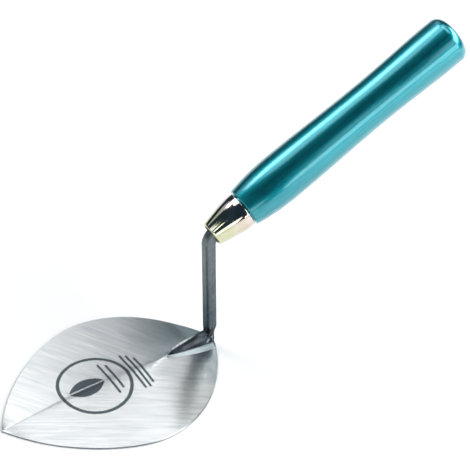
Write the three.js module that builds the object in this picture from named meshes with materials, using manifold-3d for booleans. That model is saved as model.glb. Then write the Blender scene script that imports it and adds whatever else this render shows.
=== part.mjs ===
// A mason's leaf trowel: a ground steel blade, a cranked neck whose foot is
// welded along the middle of the blade, a plated ferrule and a turned wooden
// handle that is driven onto the tang.
//
// Millimetres, +Z up. The blade lies on its sole at Z = 0 with its middle at
// the origin; its tip points to -X and the handle runs away to +X and up.
// The trowel is the same on both sides of the plane Y = 0.

import * as THREE from 'three';
import { mergeVertices } from 'three/addons/utils/BufferGeometryUtils.js';
import Module from 'manifold-3d';

// ---------------------------------------------------------------- dimensions

const bladeLength = 120;
const bladeHalfWidth = 43.9;
const bladeShoulder = 64.4; // tip to the widest place
const bladeEdge = 0.8; // thickness round the rim
const bladeHeelEdge = 2.0; // the rim is thicker beside the heel
const bladeHeelFrom = 48; // where it starts to thicken
const bladeRidge = 4.0; // thickness along the middle
const bladeRidgeRise = 0.45; // below 1, the ridge rises quickly from the tip
const bladeHeelDrop = 0.3; // share of the ridge that is lost towards the heel

const handlePitch = THREE.MathUtils.degToRad(26.6);
const handleLength = 133.2;
const handleFront = new THREE.Vector3(72.4, 0, 82.7); // where wood meets ferrule
const handleRimRadius = 10.1;
const handleBulgeRadius = 12.2;
const handleBulgeAt = 24; // from the front
const handleWaistRadius = 11.35;
const handleWaistAt = 79;
const handleButtRadius = 12.3;
const handleButtAt = 121;
const handleCorner = 5.2; // rounding of the butt
const handleDome = 1.1; // how far the butt's end bows out

const ferruleLength = 19.7;
const ferruleRadius = 9.3; // outside, at the wide end
const ferruleMouthRadius = 6.2; // outside, at the lip
const ferruleTaper = 16; // mouth to where the taper has run out
const ferruleWall = 0.9;
const ferruleBead = 0.3; // how proud the rolled end stands
const ferruleBeadLength = 1.3;

const barSide = 5.8; // the neck's square section
const barCorner = 1.6;
const barBend = 7.5; // centreline radius of the bend under the ferrule
const barCornerBack = 1.9; // the bend's corner lies this far short of the mouth
const riserFoot = new THREE.Vector3(57.4, 0, 13.0); // riser's centreline above the foot
const riserRoot = new THREE.Vector3(56.9, 0, 6.5); // it narrows into the foot down to here
const riserRootSide = 4.2;

const footTipX = 33.2; // the foot starts here, on the ridge
const footHeelX = 58.2;
const footHeelLean = 1.9; // the heel slopes out to the riser's back
const footTipHeight = 0.5;
const footHeight = 7.4; // the crest at the heel, above the blade's ridge
const footHalfWidth = 3.4;
const footTipHalfWidth = 0.5;
const footCrestShare = 0.3; // the crest's width, as a share of the foot's
const footFlankShare = 0.94; // and its width a quarter of the way up
const footWidening = 0.6; // below 1, the foot and the weld widen quickly
const footRise = 0.45; // below 1, the crest rises quickly
const footEndBias = 1.5; // above 1, the sections crowd towards the tip

const tangLength = 84; // from the ferrule's mouth
const tangTipSide = 2.4;
const tangPoint = 6; // length of the blunt point

const beadWidth = 2.9; // the weld beside the foot, at the heel
const beadTipWidth = 0.5;
const beadHeight = 1.1; // against the foot, at the heel
const beadTipHeight = 0.5;
const beadEdge = 0.15; // thickness where the weld runs out on the blade
const beadEndX = 57.4;
const gap = 0.3; // between pieces that touch
const lathingSides = 40;
const tangStraight = 0.1; // share of the tang that keeps the bar's full section
const noseShortfall = 3; // the wood stops this far inside the mouth

// ------------------------------------------------------------------- helpers

const wasm = await Module();
wasm.setup();

// Positions and triangles only, with shared corners merged.
function bare(geometry) {
  const plain = geometry.index ? geometry.toNonIndexed() : geometry.clone();
  plain.deleteAttribute('normal');
  plain.deleteAttribute('uv');
  return mergeVertices(plain, 1e-4);
}

function toSolid(geometry) {
  const welded = bare(geometry);
  return new wasm.Manifold(new wasm.Mesh({
    numProp: 3,
    vertProperties: new Float32Array(welded.attributes.position.array),
    triVerts: new Uint32Array(welded.index.array),
  }));
}

function toGeometry(solid) {
  const mesh = solid.getMesh();
  const geometry = new THREE.BufferGeometry();
  const positions = new Float32Array(mesh.vertProperties);
  geometry.setAttribute('position', new THREE.BufferAttribute(positions, 3));
  geometry.setIndex(new THREE.BufferAttribute(new Uint32Array(mesh.triVerts), 1));
  geometry.computeVertexNormals();
  return geometry;
}

// A closed skin over rings of equal length. Each ring is a list of points
// that runs anticlockwise when seen from the last ring.
function loft(rings) {
  const count = rings[0].length;
  const positions = [];
  const triangles = [];
  rings.forEach((ring) => ring.forEach((p) => positions.push(p.x, p.y, p.z)));
  for (let r = 0; r + 1 < rings.length; r += 1) {
    for (let i = 0; i < count; i += 1) {
      const j = (i + 1) % count;
      const a = r * count + i;
      const b = r * count + j;
      triangles.push(a, b, b + count, a, b + count, a + count);
    }
  }
  const last = (rings.length - 1) * count;
  for (let i = 1; i + 1 < count; i += 1) {
    triangles.push(0, i + 1, i);
    triangles.push(last, last + i, last + i + 1);
  }
  const geometry = new THREE.BufferGeometry();
  geometry.setAttribute('position', new THREE.Float32BufferAttribute(positions, 3));
  geometry.setIndex(triangles);
  return geometry;
}

// A square with rounded corners, as points in the plane spanned by u and v.
function squareRing(centre, u, v, side, corner, steps = 4) {
  const reach = side / 2 - corner;
  const ring = [];
  for (let quarter = 0; quarter < 4; quarter += 1) {
    const middle = Math.PI * (0.25 + quarter * 0.5);
    for (let i = 0; i <= steps; i += 1) {
      const angle = middle + Math.PI * 0.5 * (i / steps - 0.5);
      const x = Math.sign(Math.cos(middle)) * reach + corner * Math.cos(angle);
      const y = Math.sign(Math.sin(middle)) * reach + corner * Math.sin(angle);
      ring.push(centre.clone().addScaledVector(u, x).addScaledVector(v, y));
    }
  }
  return ring;
}

function steel(color, roughness) {
  return new THREE.MeshStandardMaterial({ color, roughness, metalness: 1 });
}

function piece(name, geometry, material) {
  const mesh = new THREE.Mesh(geometry, material);
  mesh.name = name;
  return mesh;
}

// --------------------------------------------------------------------- blade

const bladeTip = -bladeLength / 2;
const bluntHalf = 0.2; // the tip and heel end in a narrow flat

// Half of the leaf outline, from the tip to the heel: x along the blade, y out.
function bladeOutline() {
  const half = new THREE.CurvePath();
  const widest = new THREE.Vector2(bladeTip + bladeShoulder, bladeHalfWidth);
  half.add(new THREE.CubicBezierCurve(
    new THREE.Vector2(bladeTip, 0),
    new THREE.Vector2(bladeTip + 18.2, bladeHalfWidth * 0.688),
    new THREE.Vector2(widest.x - 13.4, bladeHalfWidth),
    widest,
  ));
  half.add(new THREE.CubicBezierCurve(
    widest,
    new THREE.Vector2(widest.x + 37.1, bladeHalfWidth),
    new THREE.Vector2(-bladeTip, bladeHalfWidth * 0.125),
    new THREE.Vector2(-bladeTip, 0),
  ));
  return half;
}

// The height of the ridge at a place along the blade. It rises from the thin
// tip to full thickness at mid-length, and falls a little to the heel.
function ridgeHeight(x) {
  const along = THREE.MathUtils.clamp(x / bladeLength + 0.5, 0, 1);
  const rise = Math.sin(Math.PI * Math.min(along, 0.5)) ** bladeRidgeRise;
  const heel = 1 - bladeHeelDrop * THREE.MathUtils.smoothstep(along, 0.8, 1);
  return bladeEdge + (bladeRidge - bladeEdge) * rise * heel;
}

// The thickness of the rim at a place along the blade.
function rimHeight(x) {
  const share = THREE.MathUtils.smoothstep(x, bladeHeelFrom, bladeLength / 2);
  return THREE.MathUtils.lerp(bladeEdge, bladeHeelEdge, share);
}

const bladeSteps = 56;
const bladeRim = bladeOutline().getSpacedPoints(bladeSteps);

// The height of the blade's ground top at any place on it.
function bladeTop(x, y) {
  const next = Math.max(1, bladeRim.findIndex((p) => p.x >= x));
  const from = bladeRim[next - 1];
  const to = bladeRim[next];
  const half = THREE.MathUtils.mapLinear(x, from.x, to.x, from.y, to.y);
  const inward = THREE.MathUtils.clamp(1 - Math.abs(y) / half, 0, 1);
  return THREE.MathUtils.lerp(rimHeight(x), ridgeHeight(x), inward);
}

function bladeGeometry() {
  const edge = bladeRim.slice(1, -1);
  const rings = edge.map((p) => [
    new THREE.Vector3(p.x, -p.y, 0),
    new THREE.Vector3(p.x, p.y, 0),
    new THREE.Vector3(p.x, p.y, rimHeight(p.x)),
    new THREE.Vector3(p.x, 0, ridgeHeight(p.x)),
    new THREE.Vector3(p.x, -p.y, rimHeight(p.x)),
  ]);
  const blunt = (x) => [
    new THREE.Vector3(x, -bluntHalf, 0),
    new THREE.Vector3(x, bluntHalf, 0),
    new THREE.Vector3(x, bluntHalf, rimHeight(x)),
    new THREE.Vector3(x, 0, ridgeHeight(x)),
    new THREE.Vector3(x, -bluntHalf, rimHeight(x)),
  ];
  return loft([blunt(bladeTip), ...rings, blunt(-bladeTip)]);
}

// ---------------------------------------------------------------------- neck

const tangDirection = new THREE.Vector3(Math.cos(handlePitch), 0, Math.sin(handlePitch));
const ferruleMouth = handleFront.clone().addScaledVector(tangDirection, -ferruleLength);
const neckCorner = ferruleMouth.clone().addScaledVector(tangDirection, -barCornerBack);
const riserDirection = neckCorner.clone().sub(riserFoot).normalize();
const sideways = new THREE.Vector3(0, 1, 0);

// A ring of the square bar, across its heading.
function barRing(at, heading, side, corner) {
  const across = sideways.clone().cross(heading);
  return squareRing(at, across, sideways, side, corner);
}

// The bar from its narrowed root inside the foot, up the riser, round the bend
// and down the tapered tang.
function barRings() {
  const turn = riserDirection.angleTo(tangDirection);
  const run = barBend * Math.tan(turn / 2);
  const bendStart = neckCorner.clone().addScaledVector(riserDirection, -run);
  const inward = sideways.clone().cross(riserDirection);
  const centre = bendStart.clone().addScaledVector(inward, barBend);
  const rings = [
    barRing(riserRoot, riserDirection, riserRootSide, barCorner),
    barRing(riserFoot, riserDirection, barSide, barCorner),
  ];
  const bendSteps = 10;
  for (let i = 0; i <= bendSteps; i += 1) {
    const heading = riserDirection.clone().applyAxisAngle(sideways, turn * i / bendSteps);
    const outward = sideways.clone().cross(heading).negate();
    const at = centre.clone().addScaledVector(outward, barBend);
    rings.push(barRing(at, heading, barSide, barCorner));
  }
  const tangAt = (s) => ferruleMouth.clone().addScaledVector(tangDirection, s);
  rings.push(barRing(tangAt(tangLength * tangStraight), tangDirection, barSide, barCorner));
  rings.push(barRing(tangAt(tangLength - tangPoint), tangDirection, tangTipSide, tangTipSide / 6));
  rings.push(barRing(tangAt(tangLength), tangDirection, tangTipSide / 2, tangTipSide / 6));
  return rings;
}

// How wide the foot is on each side of the middle, from its tip (0) to its
// heel (1).
function footHalf(t) {
  return THREE.MathUtils.lerp(footTipHalfWidth, footHalfWidth, t ** footWidening);
}

// The foot: a tongue along the ridge that narrows and thins towards the
// blade's tip. Its crest rises quickly and then runs up to the riser, and its
// heel slopes outwards to meet the back of the riser. With clearance it is the
// space that the weld leaves for it.
function footRings(clearance = 0) {
  const steps = 14;
  const rings = [];
  for (let i = 0; i <= steps; i += 1) {
    const t = (i / steps) ** footEndBias;
    const x = THREE.MathUtils.lerp(footTipX - clearance, footHeelX + clearance, t);
    const base = ridgeHeight(x) + gap;
    const bottom = base - clearance * 8; // well below the blade's top
    const half = footHalf(t) + clearance;
    const height = THREE.MathUtils.lerp(footTipHeight, footHeight, t ** footRise);
    const crown = base + height + clearance;
    const shoulder = base + height * 0.25;
    const crest = half * footCrestShare;
    const lean = footHeelLean * THREE.MathUtils.smoothstep(t, 0.7, 1);
    rings.push([
      new THREE.Vector3(x, -half, bottom),
      new THREE.Vector3(x, half, bottom),
      new THREE.Vector3(x + lean * 0.25, half * footFlankShare, shoulder),
      new THREE.Vector3(x + lean, crest, crown),
      new THREE.Vector3(x + lean, -crest, crown),
      new THREE.Vector3(x + lean * 0.25, -half * footFlankShare, shoulder),
    ]);
  }
  return rings;
}

function neckGeometry() {
  const bar = toSolid(loft(barRings()));
  const foot = toSolid(loft(footRings()));
  return toGeometry(foot.add(bar));
}

// ---------------------------------------------------------------------- weld

// A low bead on the blade round the foot, open towards the heel. It runs out
// thinly on the blade, and its underside follows the blade a gap above it.
function weldGeometry() {
  const steps = 16;
  const start = footTipX - beadTipWidth * 2;
  const rings = [];
  for (let i = 0; i <= steps; i += 1) {
    const t = (i / steps) ** footEndBias;
    const x = THREE.MathUtils.lerp(start, beadEndX, t);
    const foot = footHalf(t);
    const width = THREE.MathUtils.lerp(beadTipWidth, beadWidth, t ** footWidening);
    const rise = THREE.MathUtils.lerp(beadTipHeight, beadHeight, t ** footWidening);
    const at = (y, lift) => new THREE.Vector3(x, y, bladeTop(x, y) + gap + lift);
    rings.push([
      at(-foot - width, -gap),
      at(0, -gap),
      at(foot + width, -gap),
      at(foot + width, beadEdge),
      at(foot + width * 0.4, rise * 0.6),
      at(foot * 0.7, rise),
      at(-foot * 0.7, rise),
      at(-foot - width * 0.4, rise * 0.6),
      at(-foot - width, beadEdge),
    ]);
  }
  const bead = toSolid(loft(rings));
  const bladeBelow = toSolid(bladeGeometry()).translate([0, 0, gap]);
  return toGeometry(bead.subtract(bladeBelow).subtract(toSolid(loft(footRings(gap)))));
}

// ------------------------------------------------------------------- ferrule

// Lathe profiles run along the handle's axis: x is the radius, y the distance
// from where the wood meets the ferrule.

// The wall's outside swells a little between the mouth and the wide end.
function ferruleOutside(fromMouth) {
  const share = Math.min(1, fromMouth / ferruleTaper);
  const taper = (share + Math.sin(Math.PI / 2 * share)) / 2;
  return ferruleMouthRadius + (ferruleRadius - ferruleMouthRadius) * taper;
}

function ferruleGeometry() {
  const beadStart = ferruleLength - gap - ferruleBeadLength;
  const outside = [];
  const inside = [];
  const steps = 10;
  for (let i = 0; i <= steps; i += 1) {
    const d = THREE.MathUtils.lerp(ferruleWall / 2, beadStart, i / steps);
    outside.push(new THREE.Vector2(ferruleOutside(d), d));
    inside.unshift(new THREE.Vector2(ferruleOutside(d) - ferruleWall, d));
  }
  const lip = new THREE.Vector2(ferruleMouthRadius - ferruleWall / 2, 0);
  const proud = ferruleRadius + ferruleBead;
  const bead = [
    new THREE.Vector2(proud, beadStart + ferruleBeadLength * 0.3),
    new THREE.Vector2(proud, beadStart + ferruleBeadLength * 0.7),
    new THREE.Vector2(ferruleRadius, beadStart + ferruleBeadLength),
    new THREE.Vector2(ferruleRadius - ferruleWall, beadStart + ferruleBeadLength),
  ];
  const profile = [lip, ...outside, ...bead, ...inside, lip.clone()];
  profile.forEach((p) => p.setY(p.y - ferruleLength));
  return bare(new THREE.LatheGeometry(profile, lathingSides));
}

// -------------------------------------------------------------------- handle

// The outside of the wood behind the ferrule, from the front rim to the butt.
function handleSide() {
  const side = new THREE.CurvePath();
  const rim = new THREE.Vector2(handleRimRadius, 0.6);
  const bulge = new THREE.Vector2(handleBulgeRadius, handleBulgeAt);
  const waist = new THREE.Vector2(handleWaistRadius, handleWaistAt);
  const butt = new THREE.Vector2(handleButtRadius, handleButtAt);
  side.add(new THREE.CubicBezierCurve(
    rim,
    new THREE.Vector2(handleRimRadius + 1, 6),
    new THREE.Vector2(handleBulgeRadius, handleBulgeAt - 11),
    bulge,
  ));
  side.add(new THREE.CubicBezierCurve(
    bulge,
    new THREE.Vector2(handleBulgeRadius, handleBulgeAt + 18),
    new THREE.Vector2(handleWaistRadius, handleWaistAt - 21),
    waist,
  ));
  side.add(new THREE.CubicBezierCurve(
    waist,
    new THREE.Vector2(handleWaistRadius, handleWaistAt + 16),
    new THREE.Vector2(handleButtRadius, handleButtAt - 13),
    butt,
  ));
  return side.getSpacedPoints(18);
}

// The rounded butt: a quarter-round corner, then a shallow dome to the axis.
function handleButt() {
  const points = [];
  const flat = handleLength - handleDome;
  const cornerSteps = 6;
  for (let i = 0; i <= cornerSteps; i += 1) {
    const angle = Math.PI / 2 * i / cornerSteps;
    const r = handleButtRadius - handleCorner * (1 - Math.cos(angle));
    points.push(new THREE.Vector2(r, flat - handleCorner * (1 - Math.sin(angle))));
  }
  const domeRadius = handleButtRadius - handleCorner;
  points.push(new THREE.Vector2(domeRadius * 0.5, flat + handleDome * 0.75));
  points.push(new THREE.Vector2(0, handleLength));
  return points;
}

// The bore that the tang is driven into, from its blind end out to the nose,
// and the nose that fills the ferrule.
function handleNose() {
  const noseFace = noseShortfall - ferruleLength;
  const tangEnd = tangLength - ferruleLength;
  const clear = gap + 0.1;
  const points = [
    new THREE.Vector2(0, tangEnd + gap + 1),
    new THREE.Vector2(tangTipSide / 2 + clear, tangEnd + gap),
    new THREE.Vector2(tangTipSide / Math.SQRT2 + clear, tangEnd - tangPoint),
    new THREE.Vector2(barSide / Math.SQRT2 + clear, tangLength * tangStraight - ferruleLength),
    new THREE.Vector2(barSide / Math.SQRT2 + clear, noseFace),
  ];
  const steps = 6;
  for (let i = 0; i <= steps; i += 1) {
    const y = THREE.MathUtils.lerp(noseFace, 0, i / steps);
    const room = ferruleOutside(y + ferruleLength) - ferruleWall - gap;
    points.push(new THREE.Vector2(room, y));
  }
  points.push(new THREE.Vector2(handleRimRadius - 0.6, 0));
  return points;
}

function handleGeometry() {
  const profile = [...handleNose(), ...handleSide(), ...handleButt()];
  return bare(new THREE.LatheGeometry(profile, lathingSides));
}

// ------------------------------------------------------------------ assembly

const groundSteel = steel(0xb9bfc1, 0.35);
const forgedSteel = steel(0x5c666a, 0.5);
const weldSteel = steel(0xa3aaad, 0.4);
const platedSteel = steel(0xd9cf9c, 0.15);
const lacquer = new THREE.MeshStandardMaterial({ color: 0x1590a3, roughness: 0.2, metalness: 0 });

// What is turned on the handle's axis.
const turned = new THREE.Group();
turned.position.copy(handleFront);
turned.quaternion.setFromUnitVectors(new THREE.Vector3(0, 1, 0), tangDirection);
turned.add(piece('ferrule', ferruleGeometry(), platedSteel));
turned.add(piece('handle', handleGeometry(), lacquer));

const trowel = new THREE.Group();
trowel.add(piece('blade', bladeGeometry(), groundSteel));
trowel.add(piece('neck', neckGeometry(), forgedSteel));
trowel.add(piece('weld_fillet', weldGeometry(), weldSteel));
trowel.add(turned);

export default trowel;
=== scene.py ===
"""Looks for the leaf trowel: fine meshes, materials, light and camera.

Everything is in metres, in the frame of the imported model: the blade's sole on
Z = 0, its tip towards -X, and the handle rising towards +X.
"""
import math
import bpy
from mathutils import Matrix, Vector


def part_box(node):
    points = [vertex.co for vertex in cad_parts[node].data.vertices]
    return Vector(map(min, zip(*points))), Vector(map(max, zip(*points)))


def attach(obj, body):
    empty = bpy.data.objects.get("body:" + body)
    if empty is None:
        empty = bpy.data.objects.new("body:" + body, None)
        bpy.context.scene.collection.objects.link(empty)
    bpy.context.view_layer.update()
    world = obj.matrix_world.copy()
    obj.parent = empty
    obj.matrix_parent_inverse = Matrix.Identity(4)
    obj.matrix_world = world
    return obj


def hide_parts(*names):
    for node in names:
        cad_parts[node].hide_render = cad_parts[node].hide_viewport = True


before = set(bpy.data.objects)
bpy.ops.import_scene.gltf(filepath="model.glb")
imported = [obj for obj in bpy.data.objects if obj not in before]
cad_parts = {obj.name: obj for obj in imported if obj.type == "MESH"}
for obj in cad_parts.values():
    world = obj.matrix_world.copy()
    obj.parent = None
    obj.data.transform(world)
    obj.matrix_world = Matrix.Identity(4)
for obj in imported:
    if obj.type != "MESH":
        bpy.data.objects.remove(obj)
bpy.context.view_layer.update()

MM = 0.001

# ------------------------------------------------------------ from the frame

blade_low, blade_high = (Vector(p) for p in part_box("blade"))
blade_length = blade_high.x - blade_low.x
blade_half = blade_high.y
neck_low = Vector(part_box("neck")[0])

handle_pitch = math.radians(26.6)
along = Vector((math.cos(handle_pitch), 0, math.sin(handle_pitch)))
over = Vector((-math.sin(handle_pitch), 0, math.cos(handle_pitch)))


def reach(node, direction):
    """The lowest and highest distance of a CAD node along a direction."""
    spots = [v.co.dot(direction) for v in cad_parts[node].data.vertices]
    return min(spots), max(spots)


axis_height = sum(reach("handle", over)) / 2
mouth_at = reach("ferrule", along)[0]
joint_at = reach("ferrule", along)[1] + 0.3 * MM
butt_at = reach("handle", along)[1]


def on_axis(distance):
    """A point on the handle's axis, measured from the ferrule's mouth."""
    return along * (mouth_at + distance) + over * axis_height


ferrule_length = joint_at - mouth_at
handle_length = butt_at - joint_at

# -------------------------------------------------------------- mesh helpers


def new_piece(name, vertices, faces, slot, material, crease=50):
    """A smooth-shaded mesh that rides the root; edges over crease degrees stay crisp."""
    mesh = bpy.data.meshes.new(name)
    mesh.from_pydata([tuple(v) for v in vertices], [], faces)
    mesh.validate()
    mesh.materials.append(material)
    piece = bpy.data.objects.new(name, mesh)
    bpy.context.scene.collection.objects.link(piece)
    mesh.shade_smooth()
    mesh.set_sharp_from_angle(angle=math.radians(crease))
    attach(piece, "root")
    return piece


def bezier(a, b, c, d, t):
    s = 1 - t
    return tuple(
        s * s * s * p + 3 * s * s * t * q + 3 * s * t * t * r + t * t * t * w
        for p, q, r, w in zip(a, b, c, d)
    )


def smoothstep(low, high, value):
    t = min(1, max(0, (value - low) / (high - low)))
    return t * t * (3 - 2 * t)


def loft(rings):
    """Vertices and quads over closed rings, with a face at both ends."""
    count = len(rings[0])
    vertices = [p for ring in rings for p in ring]
    faces = []
    for r in range(len(rings) - 1):
        for i in range(count):
            a = r * count + i
            b = r * count + (i + 1) % count
            faces.append((a, b, b + count, a + count))
    last = (len(rings) - 1) * count
    faces.append(tuple(reversed(range(count))))
    faces.append(tuple(range(last, last + count)))
    return vertices, faces


def lathe(profile, sides=160):
    """Turns (radius, distance from the mouth) points about the handle's axis.

    A profile that doesn't start and end on the axis closes on itself.
    """
    side = Vector((0, 1, 0))
    vertices = []
    rows = []
    for radius, distance in profile:
        centre = on_axis(distance)
        if radius == 0:
            rows.append([len(vertices)] * sides)
            vertices.append(centre)
            continue
        rows.append(list(range(len(vertices), len(vertices) + sides)))
        for i in range(sides):
            angle = 2 * math.pi * i / sides
            spoke = side * math.cos(angle) + over * math.sin(angle)
            vertices.append(centre + spoke * radius)
    if profile[0][0] != 0:
        rows.append(rows[0])
    faces = []
    for lower, upper in zip(rows, rows[1:]):
        for i in range(sides):
            j = (i + 1) % sides
            ring = [lower[i], upper[i], upper[j], lower[j]]
            face = tuple(dict.fromkeys(ring))
            if len(face) > 2:
                faces.append(face)
    return vertices, faces


# ----------------------------------------------------------------- materials


class Nodes:
    """A short way to write one material's node tree."""

    def __init__(self, name):
        self.material = bpy.data.materials.new(name)
        self.material.use_nodes = True
        self.tree = self.material.node_tree
        self.shader = self.tree.nodes["Principled BSDF"]

    def add(self, kind, inputs=None, **settings):
        node = self.tree.nodes.new("ShaderNode" + kind)
        for key, value in settings.items():
            setattr(node, key, value)
        for key, value in (inputs or {}).items():
            self.put(node.inputs[key], value)
        return node

    def put(self, socket, value):
        if isinstance(value, bpy.types.NodeSocket):
            self.tree.links.new(value, socket)
        else:
            socket.default_value = value

    def math(self, operation, a, b=0.0):
        return self.add("Math", {0: a, 1: b}, operation=operation).outputs[0]

    def times(self, a, b):
        return self.math("MULTIPLY", a, b)

    def parts_of(self, vector):
        """The x, y and z of a vector."""
        return self.add("SeparateXYZ", {0: vector}).outputs[:3]

    def mix(self, factor, a, b):
        node = self.add("Mix", data_type="RGBA")
        self.put(node.inputs[0], factor)
        self.put(node.inputs[6], a)
        self.put(node.inputs[7], b)
        return node.outputs[2]

    def spread(self, value, low, high, to_low=0.0, to_high=1.0):
        node = self.add("MapRange", {0: value, 1: low, 2: high, 3: to_low, 4: to_high})
        return node.outputs[0]

    def place(self, scale=(1, 1, 1), turn=(0, 0, 0), shift=(0, 0, 0)):
        """Object coordinates in metres, moved, turned and then scaled."""
        here = self.add("TexCoord").outputs["Object"]
        moved = self.add("VectorMath", {0: here, 1: shift}, operation="ADD").outputs[0]
        spin = {"Vector": moved, "Rotation": turn}
        turned = self.add("VectorRotate", spin, rotation_type="EULER_XYZ").outputs[0]
        return self.add("VectorMath", {0: turned, 1: scale}, operation="MULTIPLY").outputs[0]

    def noise(self, vector, scale=1.0, detail=3.0, rough=0.5):
        inputs = {"Vector": vector, "Scale": scale, "Detail": detail, "Roughness": rough}
        return self.add("TexNoise", inputs).outputs["Fac"]

    def bump(self, height, distance, strength=1.0, under=None):
        node = self.add("Bump", {"Strength": strength, "Distance": distance, "Height": height})
        if under is not None:
            self.put(node.inputs["Normal"], under)
        return node.outputs[0]

    def set(self, **values):
        for key, value in values.items():
            self.put(self.shader.inputs[key.replace("_", " ")], value)


def colour(r, g, b):
    return (r, g, b, 1.0)


# The bars beside the ring: middle x, middle y and half length, in millimetres.
MARK_BARS = (
    (8.0, 0, 11.0),
    (11.2, 0, 8.8),
    (20.6, -1.6, 12.6),
    (23.2, -2.4, 12.0),
    (25.8, -3.2, 9.4),
)
IN_MM = (1000, 1000, 1000)


def etched_mark(n):
    """How much dark etching there is: a plain ring round a leaf, and bars.

    Distances are in millimetres from the ring's middle, less than zero inside
    a shape.
    """
    ring_radius, ring_half_width = 18.0, 0.85
    leaf_radius, leaf_x, leaf_y = 11.6, -4.4, 6.2
    vein_half, bar_half = 0.4, 0.6
    x, y, _ = n.parts_of(n.place(scale=IN_MM, shift=(0.0078, -0.0014, 0)))

    def from_point(px, py):
        dx = n.math("SUBTRACT", x, px)
        dy = n.math("SUBTRACT", y, py)
        return n.math("SQRT", n.math("ADD", n.times(dx, dx), n.times(dy, dy)))

    def bar(px, py, half_x, half_y):
        dx = n.math("SUBTRACT", n.math("ABSOLUTE", n.math("SUBTRACT", x, px)), half_x)
        dy = n.math("SUBTRACT", n.math("ABSOLUTE", n.math("SUBTRACT", y, py)), half_y)
        return n.math("MAXIMUM", dx, dy)

    off_ring = n.math("ABSOLUTE", n.math("SUBTRACT", from_point(0, 0), ring_radius))
    ring = n.math("SUBTRACT", off_ring, ring_half_width)
    leaf = n.math("MAXIMUM", from_point(leaf_x, leaf_y), from_point(leaf_x, -leaf_y))
    leaf = n.math("SUBTRACT", leaf, leaf_radius)
    vein = n.math("SUBTRACT", vein_half, n.math("ABSOLUTE", y))
    shape = n.math("MINIMUM", ring, n.math("MAXIMUM", leaf, vein))
    for px, py, half in MARK_BARS:
        shape = n.math("MINIMUM", shape, bar(px, py, bar_half, half))
    ragged = n.noise(n.place(scale=(1400, 1400, 1400)), detail=2.0)
    shape = n.math("ADD", shape, n.spread(ragged, 0.3, 0.7, -0.12, 0.12))
    return n.spread(shape, 0.08, -0.08)


def spatter(n):
    """The jagged seam that runs out from the foot's tip: bright line, dark side.

    The seam's way over the blade is (-0.953, -0.303), and across it is
    (0.303, -0.953). Distances are in millimetres from close to the foot's tip.
    """
    way_x, way_y = -0.953, -0.303
    x, y, _ = n.parts_of(n.place(scale=IN_MM, shift=(-0.0335, -0.0004, 0)))
    jag = n.noise(n.place(scale=(1300, 1300, 0)), detail=2.0, rough=0.6)
    gaps = n.noise(n.place(scale=(1000, 1000, 0), shift=(0.3, 0, 0)), detail=2.0)
    across = n.math("ADD", n.times(x, -way_y), n.times(y, way_x))
    across = n.math("ADD", across, n.spread(jag, 0.3, 0.7, -1.3, 1.3))
    run = n.math("ADD", n.times(x, way_x), n.times(y, way_y))
    ends = n.times(n.spread(run, -0.5, 0.5), n.spread(run, 15.0, 7.0))
    line = n.times(n.spread(n.math("ABSOLUTE", across), 0.5, 0.25), ends)
    line = n.times(line, n.spread(gaps, 0.45, 0.52))
    side = n.times(n.spread(across, -0.3, -0.8), n.spread(across, -9.0, -0.8))
    side = n.times(side, n.spread(jag, 0.35, 0.6, 0.5, 1.0))
    side_ends = n.times(n.spread(run, -3.0, 1.0), n.spread(run, 17.0, 10.0))
    return line, n.times(side, side_ends)


def ground_steel():
    n = Nodes("ground_steel")
    near_way = math.radians(-31)
    far_way = math.radians(-62)
    x, y, height = n.parts_of(n.place())
    far = n.spread(y, -1.5 * MM, 1.5 * MM)

    def strokes_along(way):
        turn = (0, 0, -way)
        fine = n.noise(n.place(scale=(60, 1100, 0), turn=turn), detail=1.0)
        furrow = n.noise(n.place(scale=(25, 420, 0), turn=turn), detail=1.0)
        return fine, furrow, n.noise(n.place(scale=(60, 170, 0), turn=turn), detail=2.0)

    def either(a, b):
        return n.add("Mix", {0: far, 2: a, 3: b}, data_type="FLOAT").outputs[0]

    layers = zip(strokes_along(near_way), strokes_along(far_way))
    fine, furrow, broad = (either(near, away) for near, away in layers)
    tone = n.math("ADD", n.spread(fine, 0.25, 0.75, 0, 0.45), n.spread(furrow, 0.3, 0.7, 0, 0.35))
    tone = n.math("ADD", tone, n.spread(broad, 0.3, 0.7, 0, 0.2))
    base = n.mix(tone, colour(0.53, 0.565, 0.575), colour(0.78, 0.79, 0.79))
    # The far half beside the foot is painted darker and bluer: a painted reflection of the dark
    # neck.
    spot_x, spot_y, _ = n.parts_of(n.place(shift=(-0.054, -0.009, 0)))
    away_x = n.math("POWER", spot_x, 2.0)
    away_y = n.math("POWER", spot_y, 2.0)
    away = n.math("SQRT", n.math("ADD", away_x, away_y))
    far_dark_reflection = n.times(n.spread(away, 38 * MM, 3 * MM), n.times(far, 0.85))
    base = n.mix(far_dark_reflection, base, colour(0.15, 0.23, 0.25))
    # The near half's heel is painted darker: a painted reflection of the riser.
    heel = n.times(n.spread(x, 42 * MM, 52 * MM), n.math("SUBTRACT", 0.5, n.times(far, 0.5)))
    base = n.mix(heel, base, colour(0.2, 0.29, 0.32))
    line, side = spatter(n)
    base = n.mix(n.times(side, 0.6), base, colour(0.16, 0.2, 0.22))
    base = n.mix(line, base, colour(0.9, 0.92, 0.93))
    mark = n.times(etched_mark(n), 0.94)
    base = n.mix(mark, base, colour(0.05, 0.07, 0.08))
    # The blade's edge wall, below 0.72 mm, is painted darker: painted shade along the rim.
    base = n.mix(n.spread(height, 0.72 * MM, 0.6 * MM), base, colour(0.2, 0.24, 0.25))
    cross_near = (-math.sin(near_way), math.cos(near_way), 0.0)
    cross_far = (-math.sin(far_way), math.cos(far_way), 0.0)
    cross = n.add("Mix", {0: far, 4: cross_near, 5: cross_far}, data_type="VECTOR").outputs[1]
    n.set(Base_Color=base, Roughness=0.27, Metallic=1.0, Anisotropic=0.82, Tangent=cross)
    waves = n.bump(broad, 0.04 * MM, 0.5)
    n.set(Normal=n.bump(furrow, 0.004 * MM, 0.5, under=waves))
    return n.material


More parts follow.
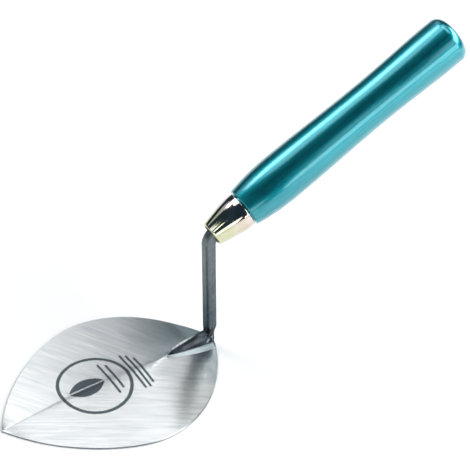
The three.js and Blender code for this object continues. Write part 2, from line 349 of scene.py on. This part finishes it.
def forged_steel():
    n = Nodes("forged_steel")
    grain = n.noise(n.place(scale=(900, 900, 500)), detail=4.0, rough=0.6)
    cloud = n.noise(n.place(scale=(160, 160, 90)), detail=3.0)
    x, _, z = n.parts_of(n.place())
    tone = n.math("ADD", n.spread(cloud, 0.3, 0.7, 0, 0.5), n.spread(grain, 0.35, 0.65, 0, 0.5))
    # Painted shade low down and painted light higher up: the steel is darker under 25 mm and
    # lighter above 75 mm.
    low = n.mix(tone, colour(0.05, 0.075, 0.09), colour(0.14, 0.175, 0.195))
    high = n.mix(tone, colour(0.12, 0.15, 0.16), colour(0.24, 0.27, 0.28))
    base = n.mix(n.spread(z, 25 * MM, 75 * MM), low, high)
    # The foot is painted near-black, in clouds that stop part of the way up: painted shade on the
    # foot's flanks.
    uneven = n.math("ADD", z, n.spread(cloud, 0.3, 0.7, -2 * MM, 2 * MM))
    scale = n.times(n.spread(uneven, 15 * MM, 11 * MM), n.spread(cloud, 0.4, 0.65, 0.95, 0.45))
    base = n.mix(scale, base, colour(0.014, 0.02, 0.026))
    # How far along the foot, and how far below its crest.
    place = n.spread(x, foot_tip, foot_heel)
    crest = n.times(n.math("POWER", place, CROWN_POWER), CROWN_RISE)
    below = n.math("SUBTRACT", n.math("ADD", crest, 4.7 * MM), z)
    # A paler patch on the flanks, half-way along: a painted highlight where the flank swells.
    flank_highlight = n.times(n.spread(below, 1.8 * MM, 2.6 * MM), n.spread(below, 5.0 * MM, 4.0 * MM))
    flank_highlight = n.times(flank_highlight, n.times(n.spread(place, 0.2, 0.35), n.spread(place, 0.8, 0.6)))
    flank_highlight = n.times(flank_highlight, n.spread(cloud, 0.3, 0.6, 0.3, 0.9))
    base = n.mix(flank_highlight, base, colour(0.2, 0.21, 0.22))
    # Bright flecks at the heel: painted glints on the scale's bumps.
    heel_glints = n.times(n.spread(grain, 0.56, 0.64), n.spread(place, 0.72, 0.85))
    heel_glints = n.times(heel_glints, n.spread(z, 15 * MM, 12 * MM))
    base = n.mix(n.times(heel_glints, 0.8), base, colour(0.5, 0.56, 0.62))
    # The crest is painted bright: a painted highlight along its rounded top.
    crest_highlight = n.times(n.spread(below, 0.55 * MM, 0.25 * MM), n.spread(z, 11.6 * MM, 11.0 * MM))
    crest_highlight = n.times(crest_highlight, n.spread(grain, 0.35, 0.55, 0.4, 1.0))
    crest_highlight = n.times(crest_highlight, n.spread(place, 0.86, 0.76))
    base = n.mix(crest_highlight, base, colour(0.7, 0.75, 0.78))
    n.set(Base_Color=base, Roughness=n.spread(grain, 0.3, 0.7, 0.32, 0.5), Metallic=1.0)
    dents = n.bump(cloud, 0.25 * MM, 0.5)
    n.set(Normal=n.bump(grain, 0.05 * MM, 0.5, under=dents))
    return n.material


def weld_steel():
    n = Nodes("weld_steel")
    strokes = n.noise(n.place(scale=(160, 1500, 0)), detail=4.0, rough=0.6)
    base = n.mix(n.spread(strokes, 0.3, 0.7), colour(0.36, 0.42, 0.44), colour(0.52, 0.57, 0.6))
    n.set(Base_Color=base, Roughness=n.spread(strokes, 0.3, 0.7, 0.34, 0.46), Metallic=1.0)
    n.set(Normal=n.bump(strokes, 0.03 * MM, 0.3))
    return n.material


def plated_steel():
    n = Nodes("plated_steel")
    film = n.noise(n.place(scale=(130, 130, 130)), detail=2.0)
    distance = n.parts_of(n.place(turn=(0, handle_pitch, 0)))[0]
    way = n.math("ADD", distance, n.spread(film, 0.3, 0.7, -3 * MM, 3 * MM))
    # The passivated film turns from straw at the mouth to rose at the wide end.
    straw = n.mix(n.spread(film, 0.35, 0.65), colour(0.68, 0.68, 0.42), colour(0.72, 0.73, 0.56))
    rose = n.mix(n.spread(film, 0.35, 0.65), colour(0.78, 0.6, 0.52), colour(0.76, 0.72, 0.66))
    start = mouth_at + 6 * MM
    base = n.mix(n.spread(way, start, start + 9 * MM), straw, rose)
    n.set(Base_Color=base, Roughness=n.spread(film, 0.3, 0.7, 0.06, 0.13), Metallic=1.0)
    speck = n.noise(n.place(scale=(1500, 1500, 1500)), detail=2.0)
    n.set(Normal=n.bump(speck, 0.004 * MM, 0.3))
    return n.material


def lacquered_wood():
    n = Nodes("lacquered_wood")
    turn = (0, handle_pitch, 0)
    fibre = n.noise(n.place(scale=(25, 1100, 1100), turn=turn), detail=4.0, rough=0.6)
    base = n.mix(n.spread(fibre, 0.3, 0.7), colour(0.0, 0.24, 0.3), colour(0.01, 0.35, 0.41))
    mottle = n.noise(n.place(scale=(500, 900, 900), turn=turn), detail=3.0)
    n.set(Base_Color=base, Roughness=n.spread(mottle, 0.3, 0.7, 0.3, 0.38), Metallic=0.97, IOR=1.5)
    n.set(Coat_Weight=1.0, Coat_Roughness=0.12, Coat_IOR=1.65)
    # The lacquer follows the grain a little and has a fine orange-peel.
    wave = n.noise(n.place(scale=(30, 260, 260), turn=turn), detail=3.0)
    peel = n.noise(n.place(scale=(420, 700, 700), turn=turn), detail=2.0)
    lay = n.bump(wave, 0.12 * MM, 0.3)
    n.set(Normal=n.bump(peel, 0.03 * MM, 0.35, under=lay))
    n.set(Coat_Normal=n.bump(peel, 0.05 * MM, 0.5, under=lay))
    return n.material


# --------------------------------------------------------------------- blade

EDGE = 0.8 * MM
RIDGE = blade_high.z


def blade_rim(steps):
    """Points along half the outline, from the tip to the heel, as (x, y)."""
    tip = blade_low.x
    shoulder = tip + blade_length * 0.5367
    first = ((tip, 0), (tip + blade_length * 0.1517, blade_half * 0.688),
             (shoulder - blade_length * 0.1117, blade_half), (shoulder, blade_half))
    second = ((shoulder, blade_half), (shoulder + blade_length * 0.3092, blade_half),
              (blade_high.x, blade_half * 0.125), (blade_high.x, 0))
    half = [bezier(*first, i / steps) for i in range(steps)]
    return half + [bezier(*second, i / steps) for i in range(steps + 1)]


def ridge_height(x):
    place = min(1, max(0, x / blade_length + 0.5))
    rise = math.sin(math.pi * min(place, 0.5)) ** 0.7
    heel = 1 - 0.3 * smoothstep(0.8, 1, place)
    return EDGE + (RIDGE - EDGE) * rise * heel


def rim_height(x):
    return EDGE + 1.2 * MM * smoothstep(48 * MM, 60 * MM, x)


def roof(x, share):
    """Height of the ground top, from the ridge (0) to the rim (1).

    The ridge is crisp towards the tip and eased where the blade is broad, and
    the ground flats flatten out towards the heel.
    """
    ease = 0.02 + 0.05 * smoothstep(-45 * MM, -10 * MM, x)
    fall = math.sqrt(share * share + ease * ease) - ease
    fall /= math.sqrt(1 + ease * ease) - ease
    fall **= 1 - 0.6 * smoothstep(5 * MM, 45 * MM, x)
    return rim_height(x) + (ridge_height(x) - rim_height(x)) * (1 - fall)


SHARES = (0, 0.015, 0.035, 0.06, 0.1, 0.16, 0.25, 0.4, 0.6, 0.8, 1)


def make_blade():
    soften = 0.2 * MM
    rings = []
    for x, y in blade_rim(120):
        y = max(y, 0.3 * MM)
        inner = y - min(soften, y * 0.4)
        right = [(inner * k, roof(x, k)) for k in reversed(SHARES)]
        left = [(-inner * k, roof(x, k)) for k in SHARES[1:]]
        wall = rim_height(x) - soften
        ring = [(-inner, 0), (inner, 0), (y, soften), (y, wall)]
        ring += right + left + [(-y, wall), (-y, soften)]
        rings.append([(x, py, pz) for py, pz in ring])
    piece = new_piece("ground_blade", *loft(rings), "ground_steel", ground_steel(), crease=35)
    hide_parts("blade")


# ------------------------------------------------------------------- ferrule


MOUTH_RADIUS = 6.2 * MM
WIDE_RADIUS = 9.3 * MM
TAPER_LENGTH = 16 * MM


def ferrule_outside(distance):
    share = min(1, distance / TAPER_LENGTH)
    taper = (share + math.sin(math.pi / 2 * share)) / 2
    return MOUTH_RADIUS + (WIDE_RADIUS - MOUTH_RADIUS) * taper


def make_ferrule():
    wall = 0.9 * MM
    lip = wall / 2
    rounding = 0.5 * MM
    end = ferrule_length - 0.45 * MM
    outside = []
    inside = []
    for i in range(41):
        d = lip + (end - rounding - lip) * i / 40
        outside.append((ferrule_outside(d), d))
        inside.insert(0, (ferrule_outside(d) - wall, d))
    rounded = []
    for i in range(9):
        angle = math.pi * i / 8
        rounded.append((MOUTH_RADIUS - lip - lip * math.cos(angle), lip - lip * math.sin(angle)))
    roll = []
    for i in range(1, 9):
        angle = math.pi / 2 * i / 8
        drop = rounding * (1 - math.cos(angle))
        roll.append((WIDE_RADIUS - drop, end - rounding + rounding * math.sin(angle)))
    back = [(WIDE_RADIUS - wall, end)]
    profile = rounded[:-1] + outside + roll + back + inside[:-1]
    piece = new_piece("plated_ferrule", *lathe(profile), "plated_steel", plated_steel())
    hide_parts("ferrule")


# -------------------------------------------------------------------- handle


# The handle's points are (radius, distance from the joint) in millimetres.
BUTT_RADIUS = 12.3


def handle_side():
    """The wood's outside, from its front rim to where the butt starts."""
    rim = (10.1, 0.6)
    bulge = (12.2, 24)
    waist = (11.35, 79)
    butt = (BUTT_RADIUS, 121)
    curves = [
        (rim, (11.1, 6), (12.2, 13), bulge),
        (bulge, (12.2, 42), (11.35, 58), waist),
        (waist, (11.35, 95), (BUTT_RADIUS, 108), butt),
    ]
    points = []
    for curve in curves:
        points += [bezier(*curve, i / 24) for i in range(24)]
    return points + [butt]


def handle_butt(length):
    corner = 5.2
    dome = 1.1
    points = []
    for i in range(17):
        angle = math.pi / 2 * i / 16
        radius = BUTT_RADIUS - corner * (1 - math.cos(angle))
        points.append((radius, length - dome - corner * (1 - math.sin(angle))))
    flat = BUTT_RADIUS - corner
    for i in range(1, 9):
        r = flat * (1 - i / 8)
        points.append((r, length - dome * (r / flat) ** 2))
    return points


def make_handle():
    length = handle_length / MM
    rim = []
    for i in range(6):
        angle = math.pi / 2 * i / 6
        rim.append((9.5 + 0.6 * math.sin(angle), 0.6 - 0.4 * math.cos(angle)))
    bore = [(0, 65.6), (1.6, 64.6), (2.1, 58.3), (4.5, -11.3), (4.5, -16.7)]
    nose = [(5.5, -16.7), (6.6, -12), (7.6, -8), (8.1, 0.2)]
    profile = bore + nose + rim + handle_side() + handle_butt(length)
    profile = [(r * MM, ferrule_length + d * MM) for r, d in profile]
    profile[-1] = (0, profile[-1][1])
    piece = new_piece("lacquered_handle", *lathe(profile), "lacquered_wood", lacquered_wood())
    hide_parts("handle")


# ---------------------------------------------------------------------- neck

SIDEWAYS = Vector((0, 1, 0))
BAR = 5.8 * MM
FOOT_GAP = 0.3 * MM
foot_tip = neck_low.x
foot_heel = blade_high.x - 1.8 * MM
riser_foot = Vector((blade_high.x - 2.6 * MM, 0, 13.0 * MM))
bend_corner = on_axis(-1.9 * MM)
riser_way = (bend_corner - riser_foot).normalized()


def square_ring(centre, heading, side, corner, steps=8):
    """A square with rounded corners, across a heading."""
    across = SIDEWAYS.cross(heading)
    arm = side / 2 - corner
    ring = []
    for quarter in range(4):
        middle = math.pi * (0.25 + quarter * 0.5)
        for i in range(steps + 1):
            angle = middle + math.pi / 2 * (i / steps - 0.5)
            u = math.copysign(arm, math.cos(middle)) + corner * math.cos(angle)
            v = math.copysign(arm, math.sin(middle)) + corner * math.sin(angle)
            ring.append(centre + across * u + SIDEWAYS * v)
    return ring


def bar_rings():
    """The riser, the bend under the ferrule and the tang, as rings."""
    corner = 1.6 * MM
    radius = 7.5 * MM
    turn = riser_way.angle(along)
    start = bend_corner - riser_way * radius * math.tan(turn / 2)
    centre = start + SIDEWAYS.cross(riser_way) * radius
    rings = [
        square_ring(riser_foot + Vector((-0.5, 0, -6.5)) * MM, riser_way, 4.2 * MM, corner),
        square_ring(riser_foot, riser_way, BAR, corner),
    ]
    for i in range(25):
        heading = Matrix.Rotation(turn * i / 24, 3, SIDEWAYS) @ riser_way
        rings.append(square_ring(centre - SIDEWAYS.cross(heading) * radius, heading, BAR, corner))
    rings.append(square_ring(on_axis(8.4 * MM), along, BAR, corner))
    rings.append(square_ring(on_axis(78 * MM), along, 2.4 * MM, 0.4 * MM))
    rings.append(square_ring(on_axis(84 * MM), along, 1.2 * MM, 0.4 * MM))
    return rings


def foot_half(t):
    return (0.5 + 2.9 * t ** 0.6) * MM


CROWN_RISE = 6.9 * MM
CROWN_POWER = 0.45


def foot_crown(t):
    return 0.5 * MM + CROWN_RISE * t ** CROWN_POWER


# Half of the tongue's section: how far out, and how high, as shares. The
# flank is hollow under the crest and swells again above the weld.
TONGUE = ((1, 0), (0.99, 0.1), (0.93, 0.22), (0.8, 0.36), (0.62, 0.5),
          (0.5, 0.66), (0.42, 0.82), (0.3, 0.94), (0.14, 0.99))


def foot_rings():
    rings = []
    for i in range(65):
        t = (i / 64) ** 1.5
        x = foot_tip + (foot_heel - foot_tip) * t
        base = ridge_height(x) + FOOT_GAP
        lean = 1.9 * MM * smoothstep(0.7, 1, t)
        right = [(x + lean * h, foot_half(t) * w, base + foot_crown(t) * h) for w, h in TONGUE]
        top = [(x + lean, 0, base + foot_crown(t))]
        left = [(px, -py, pz) for px, py, pz in reversed(right)]
        rings.append([Vector(p) for p in right + top + left])
    return rings


def remeshed(parts, voxel, rounds):
    """One even skin over several closed lofts, with its corners eased."""
    vertices = []
    faces = []
    for rings in parts:
        more, skin = loft(rings)
        faces += [tuple(len(vertices) + i for i in face) for face in skin]
        vertices += more
    mesh = bpy.data.meshes.new("rough")
    mesh.from_pydata([tuple(v) for v in vertices], [], faces)
    rough = bpy.data.objects.new("rough", mesh)
    bpy.context.scene.collection.objects.link(rough)
    modifier = rough.modifiers.new("skin", "REMESH")
    modifier.mode = "VOXEL"
    modifier.voxel_size = voxel
    ease = rough.modifiers.new("ease", "SMOOTH")
    ease.factor = 0.5
    ease.iterations = rounds
    shaped = rough.evaluated_get(bpy.context.evaluated_depsgraph_get()).to_mesh()
    result = [v.co.copy() for v in shaped.vertices], [tuple(f.vertices) for f in shaped.polygons]
    rough.to_mesh_clear()
    bpy.data.objects.remove(rough)
    bpy.data.meshes.remove(mesh)
    return result


def make_neck():
    skin = remeshed([bar_rings(), foot_rings()], 0.28 * MM, 3)
    piece = new_piece("forged_neck", *skin, "forged_steel", forged_steel())
    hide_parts("neck")


# ---------------------------------------------------------------------- weld


def blade_half_at(x):
    rim = blade_rim(60)
    for (x0, y0), (x1, y1) in zip(rim, rim[1:]):
        if x0 <= x <= x1:
            return y0 + (y1 - y0) * (x - x0) / max(x1 - x0, 1e-9)
    return 0.0


def blade_top(x, y):
    half = max(blade_half_at(x), 1e-6)
    return roof(x, min(1, abs(y) / half))


def make_weld():
    """A low, flat-lying fillet from the foot's flanks down to the blade."""
    steps = 90
    start = foot_tip - 1.0 * MM
    end = blade_high.x - 2.6 * MM
    rings = []
    for i in range(steps + 1):
        t = (i / steps) ** 1.5
        x = start + (end - start) * t
        foot = foot_half(t)
        width = (0.5 + 2.4 * t ** 0.6) * MM
        rise = (0.5 + 0.6 * t ** 0.6) * MM
        section = ((foot + width, 0.05), (foot + width * 0.85, 0.2), (foot + width * 0.6, 0.44),
                   (foot + width * 0.3, 0.72), (foot + width * 0.08, 0.95), (foot * 0.7, 1.0))
        right = [(x, y, blade_top(x, y) + rise * h) for y, h in section]
        left = [(px, -py, pz) for px, py, pz in reversed(right)]
        under = [(x, k * (foot + width), blade_top(x, foot + width) - 0.1 * MM) for k in (-1, 1)]
        rings.append([Vector(p) for p in right + left + under])
    piece = new_piece("weld_bead", *loft(rings), "weld_steel", weld_steel())
    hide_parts("weld_fillet")


make_blade()
make_ferrule()
make_handle()
make_neck()
make_weld()

# ----------------------------------------------------------- floor and light


def make_floor():
    material = Nodes("floor")
    # The lamps don't reach far, so the floor is lit up away from the trowel.
    away = material.add("VectorMath", {0: material.place()}, operation="LENGTH").outputs["Value"]
    material.set(Base_Color=colour(0.98, 0.98, 0.98), Roughness=0.9)
    glow = material.spread(away, 0.6, 2.2, 0.0, 0.95)
    material.set(Emission_Color=colour(1, 1, 1), Emission_Strength=glow)
    half = 6
    corners = [(-half, -half, 0), (half, -half, 0), (half, half, 0), (-half, half, 0)]
    mesh = bpy.data.meshes.new("floor")
    mesh.from_pydata(corners, [], [(0, 1, 2, 3)])
    mesh.materials.append(material.material)
    floor = bpy.data.objects.new("floor", mesh)
    bpy.context.scene.collection.objects.link(floor)


# Soft panels round the trowel: which way they stand and how high, in degrees,
# their width and height in metres, and how bright they are.
PANELS = (
    ("right", 328, 36, 1.10, 0.55, 5.7),
    ("right_back", 5, 30, 0.50, 0.45, 5.4),
    ("front", 285, 34, 0.50, 0.40, 1.1),
    ("front_low", 290, 12, 0.70, 0.36, 2.9),
    ("left_low", 232, 10, 1.20, 0.30, 1.9),
    ("left", 180, 32, 0.60, 0.50, 1.6),
    ("top", 60, 68, 0.40, 0.40, 2.9),
    ("top_right", 0, 72, 0.45, 0.36, 2.2),
    ("top_left", 130, 70, 0.45, 0.40, 1.8),
    ("top_back", 38, 52, 0.36, 0.34, 1.4),
    ("back", 102, 50, 0.66, 0.34, 1.9),
    ("back_low", 118, 32, 0.42, 0.34, 0.5),
    ("back_right", 68, 32, 0.42, 0.34, 1.0),
    ("streak", 214, 30, 0.10, 0.36, 3.0),
)
MIDDLE = Vector((0.06, 0, 0.05))
STUDIO = 1.2


def softbox(name, centre, level, width, height, radiance):
    """A soft panel that faces the trowel; its width lies along level."""
    facing = (centre - MIDDLE).normalized()
    across = facing.cross(level).normalized()
    light = bpy.data.lights.new(name, "AREA")
    light.shape = "RECTANGLE"
    light.size = width
    light.size_y = height
    light.energy = radiance * math.pi * width * height
    lamp = bpy.data.objects.new(name, light)
    bpy.context.scene.collection.objects.link(lamp)
    turn = Matrix((across.cross(facing), across, facing)).transposed()
    lamp.matrix_world = Matrix.Translation(centre) @ turn.to_4x4()


def make_light():
    for name, azimuth, elevation, width, height, radiance in PANELS:
        a = math.radians(azimuth)
        e = math.radians(elevation)
        way = Vector((math.cos(e) * math.cos(a), math.cos(e) * math.sin(a), math.sin(e)))
        level = Vector((-math.sin(a), math.cos(a), 0))
        softbox(name, MIDDLE + way * STUDIO, level, width, height, radiance)
    # A narrow strip that runs the way the handle does gives its long glint. It
    # is turned about the handle from the side that the camera is on.
    near_side = Vector((-0.448, -0.594, 0.668))
    handle_way = Vector((0.894, 0, 0.448))
    beside = near_side.cross(handle_way)
    turn = math.radians(71)
    way = near_side * math.cos(turn) + beside * math.sin(turn)
    softbox("glint", MIDDLE + way * STUDIO + along * 0.21, along, 0.6, 0.34, 4.1)
    world = bpy.data.worlds.new("studio")
    world.use_nodes = True
    dim = world.node_tree.nodes["Background"]
    dim.inputs[0].default_value = colour(0.3, 0.6, 1.0)
    dim.inputs[1].default_value = 0.05
    # Behind the floor's far edge the studio looks as pale as the floor.
    pale = world.node_tree.nodes.new("ShaderNodeBackground")
    pale.inputs[0].default_value = colour(0.95, 0.96, 0.97)
    choice = world.node_tree.nodes.new("ShaderNodeMixShader")
    ray = world.node_tree.nodes.new("ShaderNodeLightPath")
    world.node_tree.links.new(ray.outputs["Is Camera Ray"], choice.inputs[0])
    world.node_tree.links.new(dim.outputs[0], choice.inputs[1])
    world.node_tree.links.new(pale.outputs[0], choice.inputs[2])
    world.node_tree.links.new(choice.outputs[0], world.node_tree.nodes["World Output"].inputs[0])
    bpy.context.scene.world = world


def make_camera():
    target = Vector((113.4, 59.4, 0.5)) * MM
    distance = 1.2
    azimuth = math.radians(233.0)
    elevation = math.radians(41.9)
    roll = math.radians(4.5)
    back = Vector((
        math.cos(elevation) * math.cos(azimuth),
        math.cos(elevation) * math.sin(azimuth),
        math.sin(elevation),
    ))
    right = Vector((0, 0, 1)).cross(back).normalized()
    up = back.cross(right)
    rolled_right = right * math.cos(roll) + up * math.sin(roll)
    rolled_up = up * math.cos(roll) - right * math.sin(roll)
    data = bpy.data.cameras.new("camera")
    data.lens = 175.8
    data.sensor_width = 36
    camera = bpy.data.objects.new("camera", data)
    bpy.context.scene.collection.objects.link(camera)
    turn = Matrix((rolled_right, rolled_up, back)).transposed()
    camera.matrix_world = Matrix.Translation(target + back * distance) @ turn.to_4x4()
    bpy.context.scene.camera = camera


make_floor()
make_light()
make_camera()
bpy.context.scene.view_settings.view_transform = "Standard"
